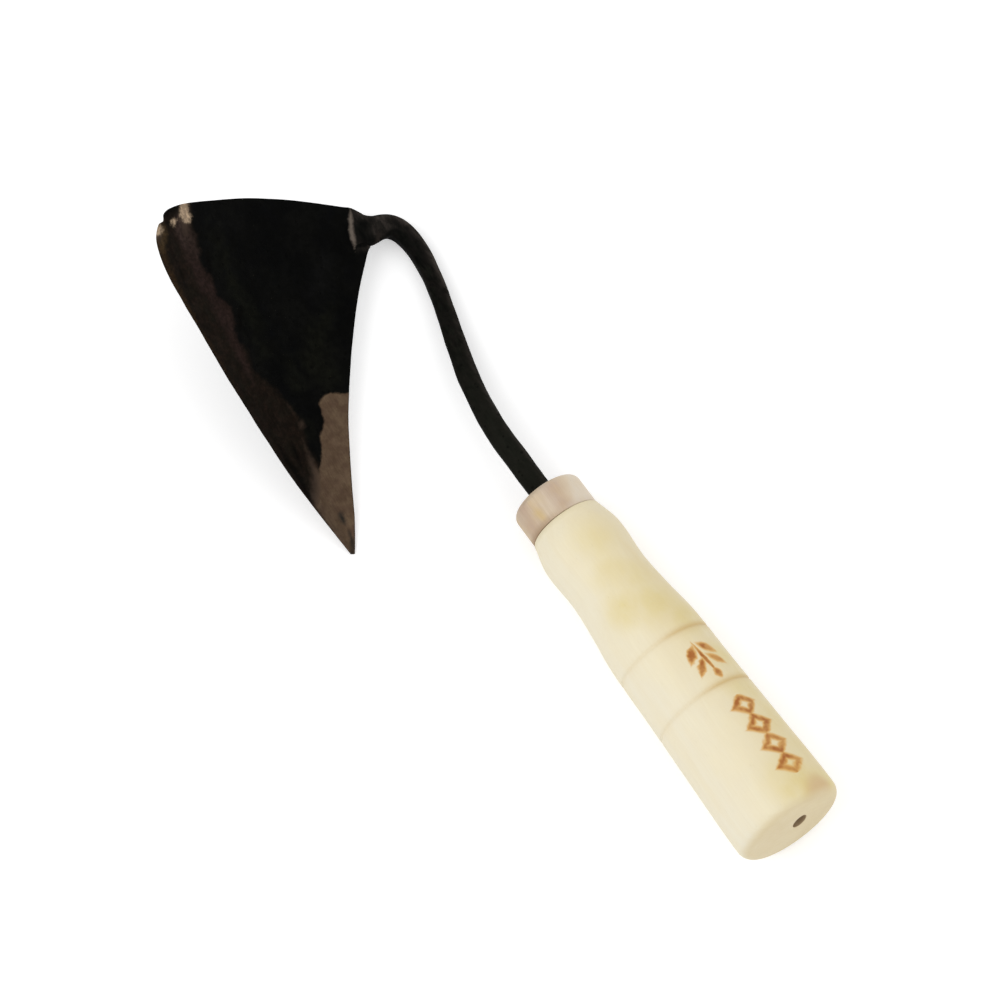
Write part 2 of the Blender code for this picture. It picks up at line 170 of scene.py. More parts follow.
# Blade: its root, and the directions along its top edge, down to its tip and out of its inner face
BLADE_ROOT = Vector((0.1041, -0.0018, 0.0068))
BLADE_TOP_EDGE = Vector((15.1, 63.0, -51.7))
BLADE_TO_TIP = Vector((-81.9, 2.0, -63.5))
BLADE_ALONG = BLADE_TOP_EDGE.normalized()
BLADE_OUT = BLADE_TOP_EDGE.cross(BLADE_TO_TIP).normalized()
BLADE_DOWN = BLADE_OUT.cross(BLADE_ALONG)

# Marks on the flat blade, as outlines, in millimetres along its top edge and down from it
OUTLINED_MARKS = {
    "ground": (
        (
            (66.9, -12.0), (67.2, -6.0), (67.6, -2.0), (65.5, 4.5), (66.7, 10.3), (62.2, 14.9), (62.2, 20.8),
            (56.6, 22.9), (56.3, 27.8), (57.2, 33.2), (52.8, 37.4), (52.0, 43.3), (45.7, 48.0), (38.8, 55.0),
            (36.8, 62.0), (35.4, 69.9), (32.0, 74.0), (28.0, 110.0), (95.0, 60.0), (95.0, -12.0),
        ),
    ),
    "bare": (
        (
            (16.0, 51.6), (21.9, 51.2), (24.6, 50.8), (27.0, 51.3), (29.5, 53.9), (29.1, 55.9), (28.4, 58.6),
            (29.2, 61.2), (31.0, 63.6), (31.0, 67.3), (31.3, 70.0), (32.2, 72.2), (33.3, 74.4), (33.6, 78.8),
            (34.6, 82.0), (36.2, 85.0), (39.5, 87.5), (42.5, 89.0), (34.0, 98.0), (26.0, 107.0),
            (15.0, 104.0),
        ),
    ),
    # Bare steel at the blade's corner, whose colour holds a painted glint
    "bright": (
        (
            (71.7, -10.5), (68.1, -10.5), (68.5, -5.8), (67.5, -4.3), (68.2, -2.6), (70.2, -2.4),
            (72.4, -4.2), (71.9, -6.5),
        ),
        ((76.0, -3.1), (74.3, -3.2), (74.1, -2.1), (75.2, -0.9), (76.1, -1.6)),
        ((86.0, -0.9), (82.9, -1.2), (81.0, -1.1), (80.2, 0.3), (81.7, 1.7), (83.3, 2.2), (86.0, 2.2)),
    ),
}
# Marks as strokes of places and half widths; where the half width is below zero only a trace is left
STROKED_MARKS = {
    "bare": (((22.3, 26.4, -0.1), (22.5, 26.6, -0.1)),),
    "pink": (
        (
            (72.5, -2.5, 1.8), (71.6, 0.0, 2.6), (70.0, 3.5, 3.2), (69.4, 8.0, 3.0), (66.8, 13.0, 3.0),
            (64.8, 18.0, 2.8), (61.0, 23.0, 3.0), (59.2, 28.0, 2.8), (58.6, 33.0, 2.2), (56.4, 38.0, 1.6),
            (54.8, 43.0, 0.8), (53.0, 48.0, -0.5),
        ),
    ),
    "gold": (
        (
            (81.0, 0.5, 2.8), (82.3, 4.4, 2.5), (82.2, 8.8, 2.0), (80.6, 13.5, 1.7), (78.4, 18.5, 1.4),
            (76.1, 23.5, 1.1), (73.4, 28.4, 0.8), (68.0, 37.5, 0.3), (60.0, 51.5, -0.3),
        ),
        ((42.4, 81.4, 0.5), (39.3, 85.5, 0.9), (35.7, 90.2, 0.9), (31.3, 96.3, 0.5)),
    ),
    "tan": (
        ((71.6, -9.0, 0.9), (70.0, -6.0, 2.2), (70.2, -2.5, 1.9), (70.4, 0.5, 0.8)),
        ((81.5, -2.6, 0.9), (82.0, 0.0, 1.6), (83.0, 2.5, 1.2)),
        (
            (37.6, 64.5, -0.5), (36.7, 68.0, 0.0), (35.8, 71.0, 0.6), (34.7, 77.0, 2.0), (35.8, 81.5, 2.3),
            (37.6, 85.2, 1.6),
        ),
        ((36.8, 60.2, 0.8), (37.1, 61.0, 0.3)),
        ((40.8, 53.3, -0.4), (38.9, 56.9, -0.4)),
    ),
    "dark": (
        (
            (49.0, 64.5, 0.2), (47.0, 68.1, 0.9), (45.5, 71.7, 1.3), (43.3, 74.3, 1.4), (41.8, 77.5, 1.4),
            (40.4, 81.4, 1.1), (38.6, 85.2, 0.6), (35.2, 90.2, 0.1), (31.0, 96.3, -0.1),
        ),
        ((41.8, 66.2, 0.4), (40.9, 69.3, 0.9), (40.0, 72.5, 0.5)),
        ((79.3, -4.4, 0.8), (77.0, -5.7, 1.1), (73.8, -7.1, 1.0), (73.2, -9.0, 0.6)),
        ((78.2, -1.9, 0.3), (76.9, -2.4, 0.3)),
        ((77.8, 2.5, -0.3), (77.6, 7.2, 0.2), (75.8, 11.5, 0.3), (74.8, 16.8, 0.0), (71.0, 24.0, -0.3)),
        ((62.7, 5.7, 0.5), (63.4, 8.9, 0.9), (62.9, 12.4, 0.4)),
        ((52.5, 23.7, 0.4), (54.1, 26.8, 0.8), (54.6, 30.4, 0.3)),
    ),
    # Bare steel along the ridge where the neck meets the blade, with a painted highlight in its colour
    "crescent": (
        ((7.0, -7.2, -0.4), (7.2, -5.4, 0.2), (7.6, -2.9, 0.7), (7.7, -1.5, 0.45), (8.0, 0.3, 0.65)),
        ((8.0, 0.3, 0.65), (8.1, 3.5, 0.6), (7.8, 7.2, -0.1)),
    ),
    "stain": (
        ((28.1, 88.7, 1.0), (27.6, 90.6, 0.7)),
        ((26.0, 93.8, 0.2), (25.6, 98.5, 0.7), (27.0, 101.0, 0.6)),
        ((31.5, 83.0, -0.6), (29.8, 86.5, -0.5)),
    ),
    "olive": (
        ((59.5, -0.8, 1.5), (56.5, 8.0, 2.5), (54.5, 16.0, 2.5), (49.0, 27.3, 2.0), (47.5, 37.0, 1.5)),
        ((20.8, 25.2, 1.0), (25.4, 33.3, 3.5), (28.3, 40.2, 4.0), (25.0, 45.0, 4.0)),
        ((37.5, 42.0, 1.0), (35.7, 48.0, 1.5)),
        ((40.5, 55.0, 0.0), (36.5, 60.5, 0.5), (34.5, 64.5, 0.0)),
    ),
    "grey": (((19.2, 9.8, 1.0), (22.0, 18.0, 2.5)), ((48.1, -3.7, 0.0), (56.4, -2.9, 0.0))),
}
# Edge of each mark in millimetres: size of its grain, raggedness and softness
MARK_EDGES = {
    "grey": (5.0, 2.0, 5.0),
    "olive": (5.0, 3.2, 4.0),
    "root": (1.8, 0.3, 0.9),
    "ground": (3.0, 1.3, 1.4),
    "pink": (3.0, 1.2, 1.9),
    "gold": (1.6, 0.8, 1.1),
    "bare": (2.4, 0.45, 0.45),
    "stain": (1.6, 0.5, 1.0),
    "bright": (1.0, 0.7, 0.9),
    "tan": (1.8, 0.7, 1.4),
    "crescent": (1.2, 0.25, 0.55),
    "dark": (1.6, 0.6, 1.2),
}
# Where marks are read: how far along the blade they start, and how near its flat; past there a reach is FAR
BLADE_START = 2.0
BLADE_REACH = 9.0
FAR = -50.0
# Direction of the grinding streaks on the blade, in degrees
DRAWN_TURN = 63.0
# Chip out of the blade's corner, in millimetres
CHIP_PLACE = Vector((81.0, -3.4))
CHIP_REACH = 2.4
CHIP_MOVE = Vector((-0.75, 0.66, 0.0)) * 1.25

# End of the neck at the blade's root, in the blade's frame in millimetres; pairs are a start and a run
NECK_END = 8.0
NECK_END_LEAN = 0.1
NECK_FADE = 1.8
BELOW_ROOT = (5.5, 3.0)
BESIDE_ROOT = (0.5, 2.0)
ROOT_BACK = -1.0
# Pale streaks at the blade's root are a painted highlight
ROOT_STREAKS = (((0.8, 1.0, 0.0), (0.4, 3.4, 0.8), (0.9, 6.5, 0.4)),)

# Painted highlight on the side of the neck that faces the light, in the tool's own frame: its direction, how
# squarely a place faces that way, as a start and a run, and how it shows along the neck in millimetres
LIT_NECK_SIDE = Vector((-0.05, 0.42, 0.90)).normalized()
LIT_NECK_FACING = (0.62, 0.32)
LIT_NECK_START = 57.0
LIT_NECK_RUN = 30.0
LIT_NECK_LEAST = 0.35

# Stains on the wood, in the tool's own frame: place and reach in millimetres, and strength
WOOD_STAINS = (
    (Vector((-128.6, 11.0, 13.6)), 15.5, 1.6),
    (Vector((-128.6, 14.6, 9.4)), 9.0, 1.0),
    (Vector((-121.0, 13.5, 10.5)), 16.0, 0.9),
    (Vector((-124.0, 15.8, 6.5)), 10.0, 0.8),
    (Vector((-48.5, 14.4, -0.6)), 11.5, 0.85),
    (Vector((-37.0, 13.2, 2.6)), 10.5, 0.7),
    (Vector((-42.0, 11.6, 7.2)), 13.0, 0.6),
    (Vector((-52.0, 12.6, 8.2)), 14.0, 0.9),
    (Vector((-60.0, 10.0, 11.9)), 12.0, 0.85),
    (Vector((-25.0, 12.6, 4.2)), 12.0, 0.6),
    (Vector((-76.0, 8.0, 13.9)), 11.0, 0.7),
    (Vector((-88.0, 8.5, 14.0)), 12.0, 0.75),
    (Vector((-100.0, 8.5, 14.3)), 13.0, 0.7),
    (Vector((-112.0, 8.5, 14.8)), 13.0, 0.6),
)

# Burnt ornament on the handle, in millimetres: depth behind the ferrule's mouth, and place round the handle.
# A lozenge is a burnt line, at a share of the way from its middle to its points
ORNAMENT_RADIUS = 16.5
LOZENGE_FIRST = 93.8
LOZENGE_COUNT = 4.0
LOZENGE_SPACING = 7.6
LOZENGE_AROUND = 10.9
LOZENGE_HALF_LENGTH = 4.3
LOZENGE_HALF_WIDTH = 4.9
LOZENGE_LINE = 0.66
# Leaves of the sprig: depth, place round the handle, turn, half length, half width
SPRIG = (
    (75.0, 10.1, 6.0, 5.8, 0.75),
    (72.0, 13.3, 46.0, 3.5, 1.5),
    (76.6, 13.9, 44.0, 3.4, 1.4),
    (72.6, 6.9, -42.0, 3.5, 1.5),
    (77.4, 7.3, -38.0, 3.4, 1.4),
    (81.2, 10.8, 6.0, 2.0, 1.35),
)
LEAF_POINTEDNESS = 1.6
LEAF_FLATNESS = 1.3

# Forging marks
HAMMER_SIZE = 0.0065
HAMMER_DEPTH = 0.00028
SCALE_SIZE = 0.0018
SCALE_DEPTH = 0.00006
EDGE_BEVEL = 0.00022

# Modelling: points round a turned piece, distances within which points count as one or as on a ring, and the
# angles in degrees past which an edge is sharp, a rim is eased and two triangles stay apart
AROUND = 128
TURNED_MERGE = 0.000002
PACKED_MERGE = 0.000005
ON_RING = 0.00001
SHARP_ANGLE = 40.0
RIM_ANGLE = 50.0
QUAD_BEND = 60.0
QUAD_SKEW = 80.0

# Colours
STEEL = {
    "scale": (0.0014, 0.0015, 0.0015),
    "paler scale": (0.0034, 0.0034, 0.0030),
    "cool scale": (0.0021, 0.0022, 0.0025),
    "dusty scale": (0.0046, 0.0046, 0.0040),
    "grey scale": (0.0052, 0.0052, 0.0050),
    "olive scale": (0.0056, 0.0058, 0.0039),
    "soot": (0.0012, 0.0012, 0.0011),
    # painted highlight at the blade's root
    "root": (0.018, 0.0145, 0.0120),
    "pit": (0.0010, 0.0010, 0.0010),
    "neck": (0.0020, 0.0020, 0.0015),
    "neck strand": (0.0104, 0.0106, 0.0078),
    "neck cloud": (0.0118, 0.0092, 0.0080),
    "neck shade": (0.0034, 0.0038, 0.0030),
    "neck speck": (0.0022, 0.0022, 0.0020),
    "lower neck": (0.0112, 0.0116, 0.0086),
    "bend": (0.0024, 0.0026, 0.0025),
    # painted highlight on the neck's lit side
    "rubbed": (0.054, 0.044, 0.038),
    "ground": (0.0072, 0.0043, 0.0028),
    "ground streak": (0.0150, 0.0096, 0.0066),
    "ground patch": (0.0185, 0.0112, 0.0078),
    "ground mottle": (0.0046, 0.0038, 0.0025),
    "dull ground": (0.0076, 0.0068, 0.0042),
    "pink": (0.0235, 0.0132, 0.0112),
    "upper pink": (0.040, 0.0265, 0.0215),
    "gold": (0.0300, 0.0170, 0.0076),
    "upper gold": (0.062, 0.040, 0.019),
    "ground speck": (0.0044, 0.0030, 0.0020),
    "bare": (0.072, 0.046, 0.029),
    "brighter bare": (0.108, 0.074, 0.046),
    "bare mottle": (0.078, 0.048, 0.034),
    "bare speck": (0.060, 0.036, 0.024),
    "bare gold": (0.047, 0.029, 0.013),
    "stain": (0.021, 0.018, 0.015),
    "tan": (0.046, 0.031, 0.0225),
    "tan near bare": (0.080, 0.053, 0.036),
    # bare steel on the ridge, with a painted highlight
    "crescent": (0.118, 0.097, 0.080),
    "dark": (0.0016, 0.0014, 0.0011),
    # bare steel with a painted glint
    "bright": (0.410, 0.305, 0.205),
}
FERRULE_METAL = {
    "plain": (0.510, 0.410, 0.300),
    "streak": (0.570, 0.470, 0.350),
    # painted light on the ferrule's lit side
    "bright side": (0.695, 0.615, 0.505),
    "dusk": (0.560, 0.440, 0.340),
    "dim stain": (0.485, 0.355, 0.265),
    "yellow stain": (0.640, 0.480, 0.250),
    "gold stain": (0.560, 0.410, 0.190),
    "speck": (0.330, 0.260, 0.180),
    "rear shade": (0.330, 0.215, 0.130),
}
WOOD = {
    "pale": (0.765, 0.700, 0.530),
    "warm": (0.795, 0.725, 0.530),
    # painted light on the handle's lit side
    "painted pale side": (0.785, 0.735, 0.595),
    "broad streak": (0.780, 0.690, 0.480),
    # partly the wood's own tone, partly painted shade
    "yellow side": (0.755, 0.640, 0.400),
    "faint blotch": (0.790, 0.690, 0.450),
    "yellow stain": (0.700, 0.580, 0.255),
    "brown stain": (0.620, 0.435, 0.240),
    "end grain": (0.725, 0.615, 0.390),
    "dark end grain": (0.685, 0.565, 0.335),
    "ring": (0.650, 0.520, 0.340),
    "fibre": (0.640, 0.540, 0.340),
    "pore": (0.480, 0.370, 0.220),
    "groove": (0.600, 0.430, 0.190),
    # painted shade where the wood meets the ferrule
    "soiled": (0.520, 0.430, 0.230),
    "scorched": (0.640, 0.330, 0.065),
    "burnt": (0.330, 0.088, 0.008),
    "bored": (0.350, 0.245, 0.140),
}


def tool_rest():
    """The turn and shift that lay the tool on the floor."""
    pitch = Matrix.Rotation(radians(TOOL_PITCH), 4, "Y")
    roll = Matrix.Rotation(radians(TOOL_ROLL), 4, "X")
    return Matrix.Translation(TOOL_SHIFT) @ pitch @ roll


def blade_rest():
    """The blade's own frame as it lies on the floor."""
    turn = Matrix((BLADE_ALONG, BLADE_DOWN, BLADE_OUT)).transposed().to_4x4()
    return tool_rest() @ Matrix.Translation(BLADE_ROOT) @ turn


def clamped(value, low=0.0, high=1.0):
    """A number kept between two others."""
    return min(max(value, low), high)


def ramp(value, start, run):
    """A share that rises from 0 at a start to 1 over a run."""
    return clamped((value - start) / run)


# Small words for nodes


def feed(socket, source):
    """Gives a socket what another node puts out, or a plain value. A plain colour is red, green and blue."""
    if isinstance(source, bpy.types.NodeSocket):
        socket.id_data.links.new(source, socket)
    elif socket.type == "RGBA":
        socket.default_value = (*source, 1.0)
    else:
        socket.default_value = source


def node(kind, inputs=None, tree=None, **settings):
    """What a new node puts out, once it is set and fed. Its tree is that of its sources, or else is given."""
    sources = inputs or {}
    for source in sources.values():
        if isinstance(source, bpy.types.NodeSocket):
            tree = source.id_data
    made = tree.nodes.new("ShaderNode" + kind)
    for name, value in settings.items():
        setattr(made, name, value)
    for name, source in sources.items():
        feed(made.inputs[name], source)
    return made.outputs


def worked_out(operation, *values):
    """One step of arithmetic."""
    return node("Math", dict(enumerate(values)), operation=operation)[0]


def times(product, *others):
    """Values multiplied together."""
    for other in others:
        product = worked_out("MULTIPLY", product, other)
    return product


def largest(most, *others):
    """The largest of some values."""
    for other in others:
        most = worked_out("MAXIMUM", most, other)
    return most


def less(first, second):
    """One value less another."""
    return worked_out("SUBTRACT", first, second)


def between(value, low, high, from_low=0.0, from_high=1.0):
    """A value that runs smoothly from low to high while another goes from its own low to its own high."""
    inputs = {"Value": value, "From Min": from_low, "From Max": from_high, "To Min": low, "To Max": high}
    return node("MapRange", inputs, interpolation_type="SMOOTHSTEP")["Result"]


def mixed(share, first, second):
    """One colour laid over another, by a mask."""
    return node("Mix", {"Factor": share, "A": first, "B": second}, data_type="RGBA")["Result"]


def layered(colour, *layers):
    """A colour with others laid over it in turn, each by its mask, and by a strength where one is given."""
    for mask, new, *strength in layers:
        colour = mixed(times(mask, *strength), colour, new)
    return colour


def place_in_mm(tree, rest):
    """A point's place in a piece's own frame, in millimetres."""
    back = rest.inverted()
    inputs = {
        "Vector": node("TexCoord", tree=tree)["Object"],
        "Scale": (1 / MM, 1 / MM, 1 / MM),
        "Rotation": back.to_euler(),
        "Location": back.translation / MM,
    }
    return node("Mapping", inputs)["Vector"]


def along_axes(place):
    """A place's three parts."""
    return node("SeparateXYZ", {"Vector": place})


def stretched(place, sizes):
    """A place divided by a size along each axis."""
    return node("VectorMath", {0: place, 1: sizes}, operation="DIVIDE")["Vector"]


def shrunk(place, size):
    """A place divided by one size."""
    share = worked_out("DIVIDE", 1.0, size)
    return node("VectorMath", {0: place, "Scale": share}, operation="SCALE")["Vector"]


def cloudy(place, scale=1.0, detail=3.0, roughness=0.55):
    """Clouds of noise."""
    inputs = {"Vector": place, "Scale": scale, "Detail": detail, "Roughness": roughness}
    return node("TexNoise", inputs)["Fac"]


def attribute(tree, name):
    """A value kept on the mesh."""
    return node("Attribute", tree=tree, attribute_name=name)["Fac"]


def bump(height, distance, below=None):
    """A normal bumped by a height, over another bumped normal where one is given."""
    inputs = {"Height": height, "Distance": distance, "Strength": 1.0}
    if below is not None:
        inputs["Normal"] = below
    return node("Bump", inputs)["Normal"]


# Effects that the finishes are built from


def effect(name, inputs, outputs):
    """An empty effect, which takes a place and some values: its tree, what is given and what it puts out."""
    tree = bpy.data.node_groups.new(name, "ShaderNodeTree")
    tree.interface.new_socket(name="Place", in_out="INPUT", socket_type="NodeSocketVector")
    for label, value in inputs.items():
        socket = tree.interface.new_socket(name=label, in_out="INPUT", socket_type="NodeSocketFloat")
        socket.default_value = value
    for label in outputs:
        tree.interface.new_socket(name=label, in_out="OUTPUT", socket_type="NodeSocketFloat")
    return tree, tree.nodes.new("NodeGroupInput").outputs, tree.nodes.new("NodeGroupOutput").inputs


def blotches_effect():
    """Soft patches of one size. The clouds are cut at their middle, 0.5, where the share is a half."""
    tree, given, out = effect("Blotches", {"Size": 10.0, "Share": 0.5, "Softness": 0.2}, ("Mask",))
    cloud = cloudy(shrunk(given["Place"], given["Size"]), detail=4.0, roughness=0.6)
    middle = worked_out("MULTIPLY_ADD", given["Share"], -0.5, 0.75)
    low = less(middle, given["Softness"])
    high = worked_out("ADD", middle, given["Softness"])
    feed(out["Mask"], between(cloud, 0.0, 1.0, low, high))
    return tree


def ragged_patch_effect():
    """A worn patch, from how far a point lies inside its outline in millimetres.

    Noise moves its edge in and out, by up to twice the raggedness.
    """
    inputs = {"Reach": 0.0, "Grain": 2.0, "Raggedness": 1.0, "Softness": 0.3}
    tree, given, out = effect("Ragged patch", inputs, ("Mask",))
    cloud = cloudy(shrunk(given["Place"], given["Grain"]), detail=5.0, roughness=0.62)
    swing = times(less(cloud, 0.5), given["Raggedness"])
    reach = worked_out("MULTIPLY_ADD", swing, 4.0, given["Reach"])
    outer = times(given["Softness"], -1.0)
    feed(out["Mask"], between(reach, 0.0, 1.0, outer, given["Softness"]))
    return tree


def fine_streaks_effect():
    """Fine streaks along one axis: a mask that is bright on the streaks, and the same as a height."""
    tree, given, out = effect("Fine streaks", {"Width": 0.3, "Length": 12.0}, ("Mask", "Height"))
    sizes = node("CombineXYZ", {"X": given["Length"], "Y": given["Width"], "Z": given["Width"]})
    cloud = cloudy(stretched(given["Place"], sizes["Vector"]), detail=4.0, roughness=0.65)
    feed(out["Mask"], between(cloud, 0.0, 1.0, 0.35, 0.68))
    feed(out["Height"], cloud)
    return tree


def pits_effect():
    """Small round pits or specks spread over a surface, each of its own size, with a soft rim."""
    tree, given, out = effect("Pits", {"Spacing": 2.0, "Radius": 0.2}, ("Mask",))
    spread = shrunk(given["Place"], given["Spacing"])
    cells = node("TexVoronoi", {"Vector": spread, "Scale": 1.0}, feature="F1")
    chance = node("SeparateColor", {"Color": cells["Color"]})["Red"]
    radius = times(given["Radius"], chance)
    distance = times(cells["Distance"], given["Spacing"])
    feed(out["Mask"], between(distance, 1.0, 0.0, times(radius, 0.6), radius))
    return tree


BLOTCHES = blotches_effect()
RAGGED_PATCH = ragged_patch_effect()
FINE_STREAKS = fine_streaks_effect()
PITS = pits_effect()


def placed(shared, **values):
    """What a shared effect puts out in a material, with its own values there."""
    inputs = {label.capitalize(): value for label, value in values.items()}
    return node("Group", inputs, node_tree=shared)


def blotches(place, size, share=0.5, softness=0.12):
    """The mask of soft patches of one size, which cover about this share of the surface."""
    return placed(BLOTCHES, place=place, size=size, share=share, softness=softness)["Mask"]


def marked(tree, place, name):
    """The mask of one mark on the head, with its ragged edge."""
    grain, raggedness, softness = MARK_EDGES[name]
    values = {"grain": grain, "raggedness": raggedness, "softness": softness}
    return placed(RAGGED_PATCH, place=place, reach=attribute(tree, name + "_mark"), **values)["Mask"]


# Finishes


def finish_with_shader(name, specular):
    """A new material with one Principled shader: its tree and the shader's inputs."""
    made = bpy.data.materials.new(name)
    made.use_nodes = True
    shader = made.node_tree.nodes["Principled BSDF"].inputs
    shader["Specular IOR Level"].default_value = specular
    return made, made.node_tree, shader


def black_forged_steel():
    """Black forge scale, worn brown and bare where the blade is ground and meets the soil."""
    made, tree, shader = finish_with_shader("black_forged_steel", specular=0.015)
    place = place_in_mm(tree, blade_rest())
    marks = {name: marked(tree, place, name) for name in MARK_EDGES}
    broad = blotches(place, size=17.0, share=0.45)
    small = blotches(place, size=4.2, softness=0.16)
    mottle = blotches(place, size=2.6)
    specks = blotches(place, size=1.1, softness=0.1)
    cool = blotches(stretched(place, (1.0, 1.6, 1.0)), size=11.0, share=0.3, softness=0.1)
    pits = placed(PITS, place=place, spacing=2.3, radius=0.75)["Mask"]
    drawn_way = node("VectorRotate", {"Vector": place, "Angle": radians(DRAWN_TURN)}, rotation_type="Z_AXIS")
    drawn = placed(FINE_STREAKS, place=drawn_way["Vector"], width=0.5, length=9.0)

    scale = layered(
        STEEL["scale"],
        (broad, STEEL["paler scale"]),
        (cool, STEEL["cool scale"]),
        (small, STEEL["dusty scale"], 0.35),
        (marks["grey"], STEEL["grey scale"]),
        (marks["olive"], STEEL["olive scale"]),
        (mottle, STEEL["soot"], 0.45),
        (attribute(tree, "neck_mark"), neck_colour(tree, broad, specks)),
        (marks["root"], STEEL["root"]),
        (pits, STEEL["pit"], 0.5),
    )

    upper = between(along_axes(place)["Y"], 1.0, 0.0, -2.0, 13.0)
    patches = blotches(place, size=7.0)
    dull = blotches(place, size=3.4, share=0.45, softness=0.1)
    pink = times(marks["pink"], between(small, 1.0, 0.7))
    gold = times(marks["gold"], between(mottle, 1.0, 0.6))
    band = layered(
        STEEL["ground"],
        (drawn["Mask"], STEEL["ground streak"]),
        (patches, STEEL["ground patch"], 0.6),
        (mottle, STEEL["ground mottle"], 0.65),
        (dull, STEEL["dull ground"], 0.5),
        (pink, STEEL["pink"]),
        (times(upper, pink), STEEL["upper pink"]),
        (gold, mixed(upper, STEEL["gold"], STEEL["upper gold"])),
        (specks, STEEL["ground speck"], 0.45),
    )

    bare = layered(
        STEEL["bare"],
        (small, STEEL["brighter bare"]),
        (mottle, STEEL["bare mottle"], 0.3),
        (specks, STEEL["bare speck"], 0.2),
        (gold, STEEL["bare gold"], 0.8),
        (marks["stain"], STEEL["stain"]),
    )

    # The bare corner's painted glint, broken up by specks
    bright = times(marks["bright"], between(specks, 1.0, 0.6))
    tan_marks = times(marks["tan"], 0.85)
    near_bare = between(attribute(tree, "bare_mark"), 0.0, 1.0, -2.8, 0.2)
    colour = layered(
        scale,
        (marks["ground"], band),
        (tan_marks, STEEL["tan"]),
        (tan_marks, STEEL["tan near bare"], near_bare),
        (marks["bare"], bare),
        (marks["crescent"], STEEL["crescent"]),
        (marks["dark"], STEEL["dark"], 0.85),
        (bright, STEEL["bright"]),
    )
    feed(shader["Base Color"], colour)

    dull_worn = largest(times(tan_marks, 0.7), times(marks["ground"], 0.35))
    worn = largest(marks["bare"], bright, marks["crescent"], dull_worn)
    worn = times(worn, less(1.0, times(marks["dark"], 0.7)))
    feed(shader["Metallic"], worn)
    matt = between(small, 0.62, 0.78)
    satin = between(drawn["Mask"], 0.46, 0.60)
    roughness = node("Mix", {"Factor": worn, "A": matt, "B": satin}, data_type="FLOAT")["Result"]
    feed(shader["Roughness"], roughness)

    crust = less(cloudy(place, scale=1.1, detail=6.0, roughness=0.7), times(pits, 0.5))
    crust = times(crust, less(1.0, times(worn, 0.8)))
    worn_down = times(largest(marks["bare"], marks["ground"]), 0.5)
    normal = bump(less(crust, worn_down), distance=0.00012)
    normal = bump(times(drawn["Height"], worn), distance=0.00006, below=normal)
    feed(shader["Normal"], normal)
    return made


def neck_colour(tree, broad, specks):
    """The neck's scale, in strands along the bar, paler at its lower end, with a painted highlight on the side
    that faces the light.
    """
    place = place_in_mm(tree, tool_rest())
    run = along_axes(place)["X"]
    strands = placed(FINE_STREAKS, place=place, width=1.1, length=4.5)["Mask"]
    clouds = blotches(stretched(place, (1.5, 1, 1)), size=2.6, softness=0.1)
    # Painted highlight on the neck's lit side, broken up by the clouds
    rubbed = times(attribute(tree, "rubbed_mark"), between(clouds, 0.45, 1.0))
    return layered(
        STEEL["neck"],
        (strands, STEEL["neck strand"]),
        (clouds, STEEL["neck cloud"], 0.55),
        (broad, STEEL["neck shade"], 0.45),
        (specks, STEEL["neck speck"], 0.3),
        (between(run, 0.65, 0.0, 15.0, 75.0), STEEL["lower neck"]),
        (between(run, 0.0, 0.65, 76.0, 98.0), STEEL["bend"]),
        (rubbed, STEEL["rubbed"], between(strands, 0.6, 1.0)),
    )


def drawn_ferrule_metal():
    """Satin metal with streaks along the ferrule and a few stains."""
    made, tree, shader = finish_with_shader("drawn_ferrule_metal", specular=0.5)
    place = place_in_mm(tree, tool_rest())
    axes = along_axes(place)
    streaks = placed(FINE_STREAKS, place=place, width=0.55, length=14.0)
    hairlines = placed(FINE_STREAKS, place=place, width=0.12, length=6.0)
    stain = blotches(stretched(place, (2.2, 1, 1)), size=5.5, share=0.4)
    dusk = blotches(stretched(place, (3.0, 1, 1)), size=8.0, share=0.45, softness=0.14)
    specks = placed(PITS, place=place, spacing=1.6, radius=0.22)["Mask"]
    rear = between(axes["X"], 1.0, 0.0, -11.6, -8.8)
    colour = layered(
        FERRULE_METAL["plain"],
        (streaks["Mask"], FERRULE_METAL["streak"]),
        # Painted light: the ferrule is lighter on the side towards the light
        (between(axes["Z"], 0.0, 1.0, -4.0, 8.0), FERRULE_METAL["bright side"]),
        (dusk, FERRULE_METAL["dusk"], 0.35),
        (attribute(tree, "dim_share"), FERRULE_METAL["dim stain"], 0.85),
        (stain, FERRULE_METAL["yellow stain"], 0.25),
        (attribute(tree, "gold_share"), FERRULE_METAL["gold stain"], 0.7),
        (specks, FERRULE_METAL["speck"], 0.3),
        (rear, FERRULE_METAL["rear shade"], between(axes["Z"], 0.75, 0.1, -8.0, 5.0)),
    )
    feed(shader["Base Color"], colour)
    feed(shader["Metallic"], 0.5)
    feed(shader["Roughness"], between(hairlines["Mask"], 0.62, 0.76))
    normal = bump(streaks["Height"], distance=0.00004)
    normal = bump(less(hairlines["Height"], specks), distance=0.00002, below=normal)
    feed(shader["Normal"], normal)
    return made


